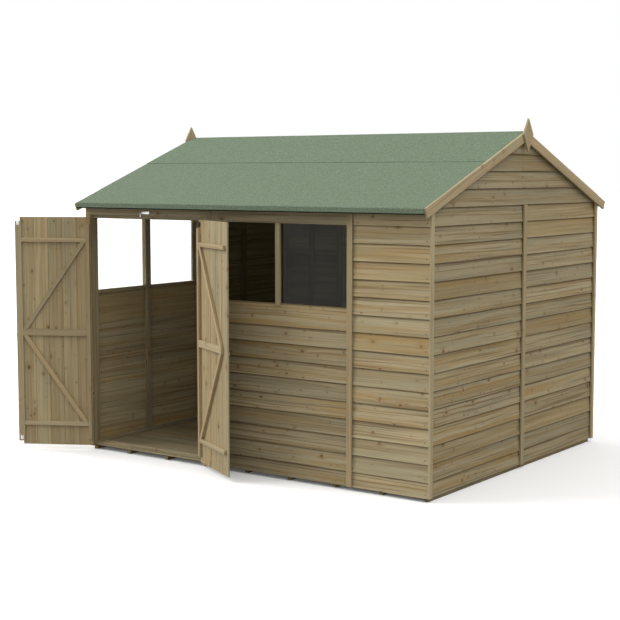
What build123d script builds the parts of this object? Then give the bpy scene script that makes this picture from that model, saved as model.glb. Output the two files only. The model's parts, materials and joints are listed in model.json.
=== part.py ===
from build123d import *
import math
import os

os.makedirs("parts", exist_ok=True)

# Overlap-clad garden shed with a felted apex roof and a pair of ledged doors.
# Millimetres. Origin at ground level under the middle of the floor; +X runs
# along the door side to the right, +Y to the back, +Z up.

# Wall panels, measured along the wall
door_panel_width = 1212.0
window_panel_width = 1175.0
plain_panel_width = 601.0
gable_panel_width = 1243.0
right_joint_shift = 38.0        # right gable's panel joint, behind the middle
clad_zone = 14.0               # cladding, from framing to outermost edge
frame_depth = 28.0             # wall framing, front to back
stud_width = 44.0
edge_stud_width = 28.0
rail_height = 26.0
door_post_width = 80.0
butt_gap = 0.5                 # between framing pieces that meet
board_gap = 1.0                # between cladding panels that meet
panel_gap = 0.5                # gable cladding to the front and back walls

# Floor
joist_height = 34.0
joist_width = 30.0
joist_pitch = 375.0            # from a joist under the middle
joist_inset = 15.0             # outermost joist centre in from the floor's end
joist_end_setback = 30.0
floor_thickness = 12.0

# Heights
wall_height = 1834.0           # framing above the floor boards
cladding_drop = 7.0            # cladding's lower edge below the joists' tops
board_pitch = 116.6
triangle_drop = 2.0            # gable panel's top edge below the wall's top
board_lip = 9.0                # how far each board's lower edge stands out
least_board = 20.0             # narrowest board left at a panel's end
boards_over_sill = 5.67        # board pitches from the sill to the top edge

# Front window
window_left_margin = 18.0
window_right_margin = 19.0
mullion_width = 38.0
mullion_proud = 9.0
mullion_lap = 13.0
mullion_clearance = 0.2
pane_joint_half = 10.0         # pane's edge from the middle of its mullion
glass_thickness = 3.0
glass_gap = 0.1                # glass to the framing behind it
glass_edge_gap = 1.0

# Gable window
gable_window_front = 56.0      # margin at the door side
gable_window_back = 67.0       # margin at the middle of the gable
gable_bar_width = 58.0

# Doorway
header_depth = 117.0           # wall's top to the opening
header_reveal = 26.0           # header board above the header rail's edge
post_strip_setback = 6.0
sill_height = 26.0
sill_depth = 28.0

# Roof
roof_slope = 0.3755            # rise over run
eaves_rail_height = 26.0
eaves_overhang = 84.0
roof_board_thickness = 10.0
felt_thickness = 2.5
felt_lower_width = 774.0       # lower course, level run from the eaves
felt_lap = 60.0
felt_gap = 0.01                # between the two courses
ridge_half_gap = 0.5
verge_gap = 0.5
fascia_thickness = 16.0
fascia_height = 44.0
fascia_top_drop = 2.0
fascia_gap = 0.2
purlin_width = 28.0
purlin_height = 44.0
ridge_board_height = 60.0
purlin_y = 640.0
roof_gap = 0.3                 # roof timbers to what they carry
triangle_clearance = 1.0       # gable boards to the roof boards

# Trims
trim_proud = 14.0
trim_width = 38.0
trim_top_gap = 2.0
trim_gap = 0.1
strip_width = 42.0
strip_proud = 10.0
barge_thickness = 16.0
barge_width = 64.0
barge_joint_half = 0.3
finial_width = 142.0
finial_thickness = 14.0
finial_rise = 87.0             # finial's tip above the ridge
finial_middle_drop = 24.0
finial_fall = 147.0
finial_gap = 0.1

# Doors, drawn shut and then swung open
door_board_thickness = 11.0
door_face_proud = 4.0          # boards' outer face in front of the cladding
door_frame_depth = 20.0
door_head_lap = 8.0            # boards' top above the opening's top
door_drop = 8.0                # boards' bottom below the floor's top
door_edge_gap = 2.0            # boards' hinge edge to the jamb
pivot_inset = 3.6              # pivot line inside the jamb
pivot_proud = 6.0              # pivot line in front of the boards
meeting_gap = 6.0
meeting_shift = 6.0            # meeting line to the right of the middle
stile_width = 28.0
stile_inset = 4.0              # stile's outer edge in from the boards' edge
hinge_stile_top_drop = 55.0
hinge_stile_rise = 48.0
meeting_stile_width = 48.0
meeting_overhang = 30.0
meeting_relief = 6.0           # clearance behind the other leaf's boards
meeting_stile_top_drop = 28.0
meeting_stile_rise = 27.0
ledge_height = 30.0
middle_ledge_height = 49.0
top_ledge_drop = 187.0         # ledges' lower edges from the boards' ends
middle_ledge_rise = 837.0
bottom_ledge_rise = 150.0
brace_width = 30.0
door_joint = 0.3               # between bars of the door's framing
right_ledge_stop = 32.0        # ledges end short of the right leaf's edge
right_middle_ledge_stop = 76.0
door_clearance = 7.0           # shut doors to the sill
left_open_deg = 151.0
right_open_deg = 151.0

# Ironwork
strap_length = 300.0
strap_root_width = 32.0
strap_tip_width = 16.0
strap_thickness = 2.0
knuckle_radius = 4.5
knuckle_height = 20.0          # strap's barrel, between the plate's two
knuckle_clearance = 0.3        # end clearance between barrels
pin_radius = 2.4
pin_clearance = 0.3            # pin to the strap's barrel
barrel_length = 11.7           # each of the plate's two barrels
seat_gap = 0.1                 # ironwork on the wood that carries it
plate_height = 90.0
plate_edge = 4.0               # plate's edge outside the jamb
plate_width = 28.0
neck_thickness = 3.0           # arm from each barrel to the plate
bolt_length = 30.0
bolt_width = 22.0
top_bolt_margin = 2.0          # from the ends of the meeting stile
bottom_bolt_margin = 12.0
bolt_rod_radius = 4.5
bolt_rod_proud = 6.0
ring_plate = 44.0              # ring handle's square back plate
ring_radius = 17.0
ring_wire = 3.5
ring_stand = 12.0              # ring's plane in front of the boards
ring_edge = 52.0               # ring's middle from the leaf's free edge
ring_drop = 48.0               # rings' middles below the middle ledge's top
loop_radius = 9.0              # loop on the meeting stile's edge
loop_wire = 2.5
loop_plate = 24.0
buffer_width = 22.0
buffer_height = 34.0
buffer_thickness = 12.0
buffer_inset = 12.0            # from the boards' hinge edge
buffer_top_drop = 15.0
catch_length = 79.0
catch_height = 19.0
catch_point = 12.0
catch_rise = 13.0              # catch above the header board's lower edge
catch_offset = 3.5             # catch's middle to the right of the doorway's
hook_radius = 3.0
hook_arm_radius = 2.3
hook_drop = 23.0               # hook's foot below the catch's lower edge
hook_stand = 14.0              # hook's middle in front of the catch
hook_inset = 7.0               # from the catch's pointed end

# Places worked out from the sizes above
clad_half_length = (door_panel_width + window_panel_width
                    + plain_panel_width) / 2
clad_half_depth = gable_panel_width + clad_zone
frame_x0 = clad_half_length - clad_zone
frame_x1 = frame_x0 - frame_depth
frame_y0 = clad_half_depth - clad_zone
frame_y1 = frame_y0 - frame_depth
door_panel_end_x = -clad_half_length + door_panel_width
window_panel_end_x = door_panel_end_x + window_panel_width
left_jamb_x = -frame_x0 + edge_stud_width
right_jamb_x = door_panel_end_x - door_post_width

floor_top = joist_height + floor_thickness
rail_top = floor_top + rail_height
cladding_bottom = joist_height - cladding_drop
wall_top = floor_top + wall_height
wall_rail_bottom = wall_top - rail_height
first_line = wall_top - triangle_drop
sill_z = first_line - boards_over_sill * board_pitch
window_head_z = first_line - board_pitch
doorway_top = wall_top - header_depth
header_board_bottom = doorway_top + header_reveal

window_left_x = door_panel_end_x + window_left_margin
window_right_x = window_panel_end_x - window_right_margin
window_middle_x = (window_left_x + window_right_x) / 2
gable_pane_front_y = -frame_y0 + gable_window_front
gable_pane_back_y = -gable_window_back
gable_bar_y = (gable_pane_front_y + gable_pane_back_y) / 2

roof_cosine = math.cos(math.atan(roof_slope))
roof_build = 2 * felt_thickness + roof_board_thickness
ridge_z = (wall_top + eaves_rail_height + roof_slope * frame_y0
           + roof_build / roof_cosine)
eaves_y = clad_half_depth + eaves_overhang
felt_seam_y = eaves_y - felt_lower_width
roof_half_length = clad_half_length + trim_proud + verge_gap
barge_end_y = eaves_y + fascia_thickness
barge_x = roof_half_length + verge_gap
finial_x = barge_x + barge_thickness + finial_gap

door_bottom = floor_top - door_drop
door_top = doorway_top + door_head_lap
face_y = -(clad_half_depth + door_face_proud)
back_y = face_y + door_board_thickness
frame_back_y = back_y + door_frame_depth
pivot_y = face_y - pivot_proud
left_pivot_x = left_jamb_x + pivot_inset
right_pivot_x = right_jamb_x - pivot_inset
doorway_middle_x = (left_jamb_x + right_jamb_x) / 2
meeting_x = doorway_middle_x + meeting_shift
left_edge_x = left_jamb_x + door_edge_gap
right_edge_x = right_jamb_x - door_edge_gap
left_free_x = meeting_x - meeting_gap / 2
right_free_x = meeting_x + meeting_gap / 2
meeting_outer_x = left_free_x + meeting_overhang
meeting_inner_x = meeting_outer_x - meeting_stile_width
meeting_stile_top = door_top - meeting_stile_top_drop
meeting_stile_bottom = door_bottom + meeting_stile_rise
top_ledge_z = door_top - top_ledge_drop
middle_ledge_z = door_bottom + middle_ledge_rise
middle_ledge_top = middle_ledge_z + middle_ledge_height
bottom_ledge_z = door_bottom + bottom_ledge_rise
hinge_z = (bottom_ledge_z + ledge_height / 2, top_ledge_z + ledge_height / 2)
ring_z = middle_ledge_top - ring_drop


def box(x0, x1, y0, y1, z0, z1):
    size = (x1 - x0, y1 - y0, z1 - z0)
    middle = ((x0 + x1) / 2, (y0 + y1) / 2, (z0 + z1) / 2)
    return Location(middle) * Box(*size)


def prism(points, direction, length):
    face = make_face(Polyline(*points, close=True).edges())
    return extrude(face, amount=length, dir=direction)


def between(side, near, far):
    """Two distances from the middle, in rising order on one side."""
    return sorted((side * near, side * far))


def board_lines(bottom, top):
    """Board edges between two levels, with no sliver left at either end."""
    lines = []
    level = first_line
    while level < ridge_z:
        level += board_pitch
    while level > bottom + least_board:
        if level < top - least_board:
            lines.append(level)
        level -= board_pitch
    return sorted(lines)


def weatherboard_section(bottom, top, lines):
    """Saw-tooth outline: each board leans in behind the one above."""
    edges = [bottom] + lines + [top]
    points = [(0.0, bottom)]
    for low, high in zip(edges, edges[1:]):
        lean = board_lip * min(1.0, (high - low) / board_pitch)
        points.append((clad_zone, low))
        points.append((clad_zone - lean, high))
    points.append((0.0, top))
    return points


def long_panel(x0, x1, bottom, top, lines, side):
    """Clad panel on the front (side -1) or the back (side +1)."""
    section = weatherboard_section(bottom, top, lines)
    points = [(x0, side * (frame_y0 + out), z) for out, z in section]
    return prism(points, (1, 0, 0), x1 - x0)


def gable_panel(y0, y1, bottom, top, lines, side):
    """Clad panel on the right (side +1) or the left (side -1) end."""
    section = weatherboard_section(bottom, top, lines)
    points = [(side * (frame_x0 + out), y0, z) for out, z in section]
    return prism(points, (0, 1, 0), y1 - y0)


def roof_surface(y):
    return ridge_z - roof_slope * abs(y)


def roof_underside(y):
    return roof_surface(y) - roof_build / roof_cosine


def slope_slab(y_in, y_out, depth_top, depth_bottom, side):
    """Sloping slab between two depths under the roof's top surface."""
    points = []
    for y, depth in ((y_in, depth_top), (y_out, depth_top),
                     (y_out, depth_bottom), (y_in, depth_bottom)):
        z = roof_surface(y) - depth / roof_cosine
        points.append((-roof_half_length, side * y, z))
    return prism(points, (1, 0, 0), 2 * roof_half_length)


# Floor
def floor_joists():
    """Bearers set out either side of a middle one, and one at each end."""
    end = frame_x0 - joist_inset
    centres = [-end, 0.0, end]
    x = joist_pitch
    while x < end - joist_pitch / 2:
        centres += [-x, x]
        x += joist_pitch
    y = clad_half_depth - joist_end_setback
    half = joist_width / 2
    return [box(x - half, x + half, -y, y, 0, joist_height)
            for x in sorted(centres)]


def floor_boards():
    return [box(-frame_x0, frame_x0, -frame_y0, frame_y0,
                joist_height, floor_top)]


# Framing
def front_wall_frame():
    """Door posts, header and sill, then the window and plain panels."""
    y0, y1 = -frame_y0, -frame_y1
    gap = butt_gap
    edge = edge_stud_width
    half = stud_width / 2
    low = rail_top + gap
    high = wall_rail_bottom - gap

    def bar(x0, x1, z0, z1):
        return box(x0, x1, y0, y1, z0, z1)

    sill_y = frame_back_y + door_clearance
    pieces = [
        bar(-frame_x0, frame_x0, wall_rail_bottom, wall_top),
        bar(-frame_x0, left_jamb_x, floor_top, high),
        bar(right_jamb_x, door_panel_end_x, floor_top, high),
        bar(left_jamb_x + gap, right_jamb_x - gap, doorway_top, high),
        box(left_jamb_x + gap, right_jamb_x - gap, sill_y,
            sill_y + sill_depth, floor_top, floor_top + sill_height),
        bar(door_panel_end_x + gap, frame_x0, floor_top, rail_top)]

    left = door_panel_end_x + gap
    right = window_panel_end_x - gap
    under = sill_z - rail_height
    pieces += [
        bar(left, left + edge, low, high),
        bar(right - edge, right, low, high),
        bar(left + edge + gap, right - edge - gap, under, sill_z),
        bar(left + edge + gap, right - edge - gap, window_head_z, high),
        bar(window_middle_x - half, window_middle_x + half, low, under - gap),
        bar(window_middle_x - mullion_width / 2,
            window_middle_x + mullion_width / 2,
            sill_z + gap, window_head_z - gap)]

    left = window_panel_end_x + gap
    middle = (window_panel_end_x + frame_x0) / 2
    pieces += [
        bar(left, left + edge, low, high),
        bar(middle - half, middle + half, low, high),
        bar(frame_x0 - edge, frame_x0, low, high)]
    return pieces


def back_wall_frame():
    """Studs behind each joint between back panels and midway between."""
    y0, y1 = frame_y1, frame_y0
    low = rail_top + butt_gap
    high = wall_rail_bottom - butt_gap
    pieces = [box(-frame_x0, frame_x0, y0, y1, floor_top, rail_top),
              box(-frame_x0, frame_x0, y0, y1, wall_rail_bottom, wall_top)]
    joints = (-frame_x0, -window_panel_end_x, -door_panel_end_x, frame_x0)
    half = stud_width / 2
    for a, b in zip(joints, joints[1:]):
        middle = (a + b) / 2
        pieces.append(box(middle - half, middle + half, y0, y1, low, high))
    for x in joints[1:3]:
        pieces.append(box(x - half, x + half, y0, y1, low, high))
    edge = edge_stud_width
    pieces.append(box(-frame_x0, -frame_x0 + edge, y0, y1, low, high))
    pieces.append(box(frame_x0 - edge, frame_x0, y0, y1, low, high))
    return pieces


def gable_rafters(side):
    """Sloping framing behind the gable triangle, meeting at the ridge."""
    x0, x1 = between(side, frame_x1, frame_x0)
    y_low = frame_y1 - butt_gap
    near = purlin_width / 2 + butt_gap
    pieces = []
    for slope_side in (-1, 1):
        points = []
        for y, drop in ((near, butt_gap), (y_low, butt_gap),
                        (y_low, stud_width), (near, stud_width)):
            points.append((x0, slope_side * y, roof_underside(y) - drop))
        pieces.append(prism(points, (1, 0, 0), x1 - x0))
    return pieces


def gable_frame(side, window, joint_y):
    """Studs at the edges, the panel joint and mid bay; a front window."""
    x0, x1 = between(side, frame_x1, frame_x0)
    y = frame_y1 - butt_gap
    gap = butt_gap
    edge = edge_stud_width
    half = stud_width / 2
    low = rail_top + gap
    plate_top = roof_underside(y) - stud_width - gap
    high = plate_top - rail_height - gap

    def bar(y0, y1, z0, z1):
        return box(x0, x1, y0, y1, z0, z1)

    back_bay = (joint_y + y) / 2
    front_bay = (joint_y - y) / 2
    pieces = [bar(-y, y, floor_top, rail_top),
              bar(-y, y, high + gap, plate_top),
              bar(-y, -y + edge, low, high),
              bar(y - edge, y, low, high),
              bar(joint_y - edge, joint_y + edge, low, high),
              bar(back_bay - half, back_bay + half, low, high)]
    if not window:
        pieces.append(bar(front_bay - half, front_bay + half, low, high))
        return pieces
    front_end = -y + edge + gap
    back_end = joint_y - edge - gap
    under = sill_z - rail_height
    bar_half = gable_bar_width / 2
    pieces += [
        bar(front_end, back_end, under, sill_z),
        bar(front_end, back_end, window_head_z, high),
        bar(gable_bar_y - half, gable_bar_y + half, low, under - gap),
        bar(gable_bar_y - bar_half, gable_bar_y + bar_half,
            sill_z + gap, window_head_z - gap)]
    return pieces


# Cladding
def doorway_cladding():
    """Flat boards over the header and down both door posts."""
    y0, y1 = -clad_half_depth, -frame_y0
    left = -clad_half_length
    right = door_panel_end_x - board_gap / 2
    top = header_board_bottom - board_gap
    return [
        box(left, right, y0, y1, header_board_bottom, wall_top),
        box(left, left_jamb_x - post_strip_setback, y0, y1,
            cladding_bottom, top),
        box(right_jamb_x + post_strip_setback, right, y0, y1,
            cladding_bottom, top)]


def front_window_cladding():
    gap = board_gap
    x0 = door_panel_end_x + gap / 2
    x1 = window_panel_end_x - gap / 2
    lines = board_lines(cladding_bottom, sill_z - board_pitch / 2)
    return [
        long_panel(x0, x1, cladding_bottom, sill_z, lines, -1),
        long_panel(x0, x1, window_head_z, wall_top, [], -1),
        box(x0, window_left_x, -clad_half_depth, -frame_y0,
            sill_z + gap, window_head_z - gap),
        box(window_right_x, x1, -clad_half_depth, -frame_y0,
            sill_z + gap, window_head_z - gap)]


def front_plain_cladding():
    x0 = window_panel_end_x + board_gap / 2
    lines = board_lines(cladding_bottom, wall_top)
    return [long_panel(x0, clad_half_length, cladding_bottom, wall_top,
                       lines, -1)]


def back_wall_cladding():
    gap = board_gap / 2
    lines = board_lines(cladding_bottom, wall_top)
    starts = (-clad_half_length, -window_panel_end_x + gap,
              -door_panel_end_x + gap)
    ends = (-window_panel_end_x - gap, -door_panel_end_x - gap,
            clad_half_length)
    return [long_panel(x0, x1, cladding_bottom, wall_top, lines, 1)
            for x0, x1 in zip(starts, ends)]


def right_gable_cladding():
    y = frame_y0 - panel_gap
    gap = board_gap / 2
    lines = board_lines(cladding_bottom, first_line)
    top = first_line - gap
    joint = right_joint_shift
    return [gable_panel(-y, joint - gap, cladding_bottom, top, lines, 1),
            gable_panel(joint + gap, y, cladding_bottom, top, lines, 1)]


def left_gable_cladding():
    """Plain panel at the back, window panel next to the doors."""
    y = frame_y0 - panel_gap
    gap = board_gap / 2
    top = first_line - gap
    lines = board_lines(cladding_bottom, first_line)
    low_lines = board_lines(cladding_bottom, sill_z - board_pitch / 2)
    panels = [gable_panel(gap, y, cladding_bottom, top, lines, -1),
              gable_panel(-y, -gap, cladding_bottom, sill_z, low_lines, -1),
              gable_panel(-y, -gap, window_head_z, top, [], -1)]
    for y0, y1 in ((-y, gable_pane_front_y), (gable_pane_back_y, -gap)):
        panels.append(box(-clad_half_length, -frame_x0, y0, y1,
                          sill_z + board_gap, window_head_z - board_gap))
    return panels


def gable_triangle(side):
    """Boards above the wall panels, cut to the roof's slope."""
    y = frame_y0 - panel_gap
    top = roof_underside(0)
    lines = board_lines(first_line, top)
    slab = gable_panel(-y, y, first_line, top, lines, side)
    x = clad_half_length + clad_zone
    level = roof_underside(y) - triangle_clearance
    points = [(-x, -y, first_line), (-x, y, first_line), (-x, y, level),
              (-x, 0, top - triangle_clearance), (-x, -y, level)]
    return [slab & prism(points, (1, 0, 0), 2 * x)]


# Roof
def roof_boards():
    top = 2 * felt_thickness
    return [slope_slab(ridge_half_gap, eaves_y, top, roof_build, side)
            for side in (-1, 1)]


def roof_felt():
    """Two courses a side; the upper one laps over the lower."""
    pieces = []
    for side in (-1, 1):
        pieces.append(slope_slab(ridge_half_gap, felt_seam_y, 0,
                                 felt_thickness, side))
        pieces.append(slope_slab(felt_seam_y - felt_lap, eaves_y,
                                 felt_thickness + felt_gap,
                                 2 * felt_thickness, side))
    return pieces


def eaves_fascias():
    """Felt-wrapped edge boards hanging from the eaves."""
    top = roof_surface(eaves_y) - fascia_top_drop
    pieces = []
    for side in (-1, 1):
        y0, y1 = between(side, eaves_y + fascia_gap,
                         eaves_y + fascia_thickness)
        pieces.append(box(-roof_half_length, roof_half_length, y0, y1,
                          top - fascia_height, top))
    return pieces


def roof_purlins():
    """Ridge board, purlins and bevelled eaves rails under the boards."""
    half = purlin_width / 2
    x = frame_x0
    pieces = []
    for y, height in ((-purlin_y, purlin_height), (purlin_y, purlin_height),
                      (0.0, ridge_board_height)):
        length = x if y == 0.0 else frame_x1 - butt_gap
        top = roof_underside(abs(y) + half) - roof_gap
        pieces.append(box(-length, length, y - half, y + half,
                          top - height, top))
    for side in (-1, 1):
        points = []
        for y, z in ((frame_y1, wall_top + roof_gap),
                     (frame_y0, wall_top + roof_gap),
                     (frame_y0, roof_underside(frame_y0) - roof_gap),
                     (frame_y1, roof_underside(frame_y1) - roof_gap)):
            points.append((-x, side * y, z))
        pieces.append(prism(points, (1, 0, 0), 2 * x))
    return pieces


def bargeboards(side):
    """Two sloping boards whose tails are cut square to the slope."""
    drop = barge_width / roof_cosine
    tail = barge_width * roof_slope * roof_cosine
    x0, x1 = between(side, barge_x, barge_x + barge_thickness)
    y_near, y_low = barge_joint_half, barge_end_y - tail
    pieces = []
    for slope_side in (-1, 1):
        points = []
        for y, z in ((y_near, roof_surface(y_near)),
                     (barge_end_y, roof_surface(barge_end_y)),
                     (y_low, roof_surface(y_low) - drop),
                     (y_near, roof_surface(y_near) - drop)):
            points.append((x0, slope_side * y, z))
        pieces.append(prism(points, (1, 0, 0), x1 - x0))
    return pieces


def finial(side):
    """Kite-shaped board over the joint of the bargeboards."""
    x0, x1 = between(side, finial_x, finial_x + finial_thickness)
    half = finial_width / 2
    middle = ridge_z - finial_middle_drop
    points = [(x0, 0, ridge_z + finial_rise), (x0, half, middle),
              (x0, 0, ridge_z - finial_fall), (x0, -half, middle)]
    return [prism(points, (1, 0, 0), x1 - x0)]


# Trims
def corner_trims():
    top = roof_underside(clad_half_depth) - trim_top_gap
    pieces = []
    for sx in (-1, 1):
        x0, x1 = between(sx, clad_half_length + trim_gap,
                         clad_half_length + trim_proud)
        for sy in (-1, 1):
            y0, y1 = between(sy, clad_half_depth - trim_width,
                             clad_half_depth)
            pieces.append(box(x0, x1, y0, y1, cladding_bottom, top))
    return pieces


def cover_strips():
    """Flat strips over the joints between neighbouring panels."""
    half = strip_width / 2
    low = cladding_bottom
    pieces = []
    for side, joints in ((-1, (window_panel_end_x,)),
                         (1, (-window_panel_end_x, -door_panel_end_x))):
        y0, y1 = between(side, clad_half_depth + trim_gap,
                         clad_half_depth + strip_proud)
        for x in joints:
            pieces.append(box(x - half, x + half, y0, y1, low, first_line))
    for side, y in ((-1, 0.0), (1, right_joint_shift)):
        x0, x1 = between(side, clad_half_length + trim_gap,
                         clad_half_length + trim_proud)
        pieces.append(box(x0, x1, y - half, y + half, low, first_line))
    return pieces


# Glass
def pane_spans(start, end, middle):
    """Two panes between the margins, meeting behind the mullion."""
    return ((start + glass_edge_gap, middle - pane_joint_half),
            (middle + pane_joint_half, end - glass_edge_gap))


def front_window_glass():
    y1 = -frame_y0 - glass_gap
    y0 = y1 - glass_thickness
    low, high = sill_z + glass_edge_gap, window_head_z - glass_edge_gap
    spans = pane_spans(window_left_x, window_right_x, window_middle_x)
    return [box(x0, x1, y0, y1, low, high) for x0, x1 in spans]


def left_window_glass():
    x1 = -frame_x0 - glass_gap
    x0 = x1 - glass_thickness
    low, high = sill_z + glass_edge_gap, window_head_z - glass_edge_gap
    spans = pane_spans(gable_pane_front_y, gable_pane_back_y, gable_bar_y)
    return [box(x0, x1, y0, y1, low, high) for y0, y1 in spans]


def window_mullions():
    """Bars over the joint between panes, lapping onto the board below."""
    half = mullion_width / 2
    behind = glass_thickness + glass_gap + mullion_clearance
    low, top = sill_z + butt_gap, window_head_z - butt_gap
    foot = sill_z - mullion_lap
    x0, x1 = window_middle_x - half, window_middle_x + half
    front = -(clad_half_depth + mullion_proud)
    lap = -(clad_half_depth + mullion_clearance)
    front_bar = (box(x0, x1, front, -(frame_y0 + behind), low, top)
                 + box(x0, x1, front, lap, foot, low))
    y0, y1 = gable_bar_y - half, gable_bar_y + half
    front = -(clad_half_length + mullion_proud)
    lap = -(clad_half_length + mullion_clearance)
    gable_bar = (box(front, -(frame_x0 + behind), y0, y1, low, top)
                 + box(front, lap, y0, y1, foot, low))
    return [front_bar, gable_bar]


# Doors
def swing(shape, pivot_x, degrees):
    there = Location((pivot_x, pivot_y, 0))
    back = Location((-pivot_x, -pivot_y, 0))
    return there * (Rotation(0, 0, degrees) * (back * shape))


def door_boards(x0, x1):
    return [box(x0, x1, face_y, back_y, door_bottom, door_top)]


def ledge(x0, x1, low, height):
    low_x, high_x = sorted((x0, x1))
    return box(low_x, high_x, back_y, frame_back_y, low, low + height)


def brace(x_a, z_a, x_b, z_b):
    """Sloping bar cut level, filling one corner at each of its ends."""
    side = 1 if x_b > x_a else -1
    wide = brace_width
    for step in range(8):
        run = abs(x_b - x_a) - wide
        wide = brace_width * math.hypot(run, z_b - z_a) / abs(z_b - z_a)
    points = [(x_a, back_y, z_a), (x_a + side * wide, back_y, z_a),
              (x_b, back_y, z_b), (x_b - side * wide, back_y, z_b)]
    return prism(points, (0, 1, 0), door_frame_depth)


def door_frame(hinge_x, free_x, middle_free_x):
    """Hinge stile, three ledges and two braces."""
    direction = 1 if free_x > hinge_x else -1
    stile_a = hinge_x + direction * stile_inset
    stile_b = stile_a + direction * stile_width
    x0, x1 = sorted((stile_a, stile_b))
    start = stile_b + direction * door_joint
    joint = door_joint
    return [
        box(x0, x1, back_y, frame_back_y, door_bottom + hinge_stile_rise,
            door_top - hinge_stile_top_drop),
        ledge(start, free_x, bottom_ledge_z, ledge_height),
        ledge(start, middle_free_x, middle_ledge_z, middle_ledge_height),
        ledge(start, free_x, top_ledge_z, ledge_height),
        brace(start, bottom_ledge_z + ledge_height + joint,
              middle_free_x - direction * joint, middle_ledge_z - joint),
        brace(middle_free_x - direction * joint, middle_ledge_top + joint,
              start, top_ledge_z - joint)]


def meeting_stile():
    """Stile rebated where it laps behind the other leaf's boards."""
    low, high = meeting_stile_bottom, meeting_stile_top
    body = box(meeting_inner_x, left_free_x, back_y, frame_back_y, low, high)
    lap = box(left_free_x, meeting_outer_x, back_y + meeting_relief,
              frame_back_y, low, high)
    return body + lap


def strap(pivot_x, direction, z):
    """Tapering tee-hinge strap rolled round its pin at the root."""
    y1 = face_y - seat_gap
    y0 = y1 - strap_thickness
    root = strap_root_width / 2
    tip = strap_tip_width / 2
    neck_end = pivot_x + direction * (knuckle_radius + strap_thickness)
    x0 = neck_end - direction * strap_thickness / 2
    x1 = pivot_x + direction * strap_length
    blade = prism([(x0, y0, z - root), (x1, y0, z - tip),
                   (x1, y0, z + tip), (x0, y0, z + root)],
                  (0, 1, 0), strap_thickness)
    half = knuckle_height / 2
    xs = sorted((pivot_x, neck_end))
    neck = box(xs[0], xs[1], y0, y1, z - half, z + half)
    middle = Location((pivot_x, pivot_y, z))
    barrel = middle * Cylinder(knuckle_radius, knuckle_height)
    bore = middle * Cylinder(pin_radius + pin_clearance,
                             2 * knuckle_height)
    return blade + neck + barrel - bore


def door_hinges(pivot_x, direction):
    return [strap(pivot_x, direction, z) for z in hinge_z]


def left_door_bolts():
    """Tower bolts at the head and foot of the meeting stile."""
    x = (meeting_inner_x + meeting_outer_x) / 2
    half = bolt_width / 2
    y0 = frame_back_y + seat_gap
    pieces = []
    for low in (meeting_stile_top - top_bolt_margin - bolt_length,
                meeting_stile_bottom + bottom_bolt_margin):
        high = low + bolt_length
        plate = box(x - half, x + half, y0, y0 + strap_thickness, low, high)
        middle = Location((x, y0 + bolt_rod_proud, (low + high) / 2))
        pieces.append(plate + middle * Cylinder(bolt_rod_radius, bolt_length))
    return pieces


def right_door_ring():
    """Ring hung from a boss on a square plate, on the outer face."""
    x = right_free_x + ring_edge
    y1 = face_y - seat_gap
    half = ring_plate / 2
    plate = box(x - half, x + half, y1 - strap_thickness, y1,
                ring_z - half, ring_z + half)
    ring = Location((x, face_y - ring_stand, ring_z)) * (
        Rotation(90, 0, 0) * Torus(ring_radius, ring_wire))
    reach = ring_stand + ring_wire
    boss = Location((x, y1 - reach / 2, ring_z + ring_radius)) * (
        Rotation(90, 0, 0) * Cylinder(ring_wire + strap_thickness, reach))
    return [plate + boss + ring]


def left_door_loop():
    """Loop on the meeting stile's edge, behind the other leaf's boards."""
    x0 = meeting_outer_x + seat_gap
    x1 = x0 + strap_thickness
    y0 = back_y + meeting_relief
    half = loop_plate / 2
    plate = box(x0, x1, y0, frame_back_y, ring_z - half, ring_z + half)
    x = x1 + loop_radius + loop_wire / 2
    middle = Location((x, (y0 + frame_back_y) / 2, ring_z))
    return [plate + middle * (Rotation(90, 0, 0)
                              * Torus(loop_radius, loop_wire))]


def right_door_buffer():
    """Small block on the boards above the hinge stile."""
    x1 = right_edge_x - buffer_inset
    z1 = door_top - buffer_top_drop
    y0 = back_y + seat_gap
    return [box(x1 - buffer_width, x1, y0, y0 + buffer_thickness,
                z1 - buffer_height, z1)]


# Fixed ironwork
def hinge_plate(jamb_x, pivot_x, direction, z):
    """Plate beside the doorway; arms carry two barrels and their pin."""
    y1 = -clad_half_depth - seat_gap
    near = jamb_x + direction * plate_edge
    x0, x1 = sorted((near, near + direction * plate_width))
    half = plate_height / 2
    leaf = box(x0, x1, y1 - strap_thickness, y1, z - half, z + half)
    inner = knuckle_height / 2 + knuckle_clearance
    outer = inner + barrel_length
    pin = Location((pivot_x, pivot_y, z)) * Cylinder(pin_radius, 2 * outer)
    leaf = leaf + pin
    arm = sorted((pivot_x, near + direction * neck_thickness))
    foot = sorted((near, near + direction * neck_thickness))
    front = pivot_y - neck_thickness / 2
    for sign in (-1, 1):
        middle = z + sign * (inner + outer) / 2
        barrel = Location((pivot_x, pivot_y, middle)) * Cylinder(
            knuckle_radius, barrel_length)
        low, high = sorted((z + sign * inner, z + sign * outer))
        leaf = leaf + barrel
        leaf = leaf + box(arm[0], arm[1], front, front + neck_thickness,
                          low, high)
        leaf = leaf + box(foot[0], foot[1], front, y1, low, high)
    return leaf


def hinge_plates():
    sides = ((left_jamb_x, left_pivot_x, -1), (right_jamb_x, right_pivot_x, 1))
    return [hinge_plate(jamb_x, pivot_x, direction, z)
            for jamb_x, pivot_x, direction in sides
            for z in hinge_z]


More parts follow.
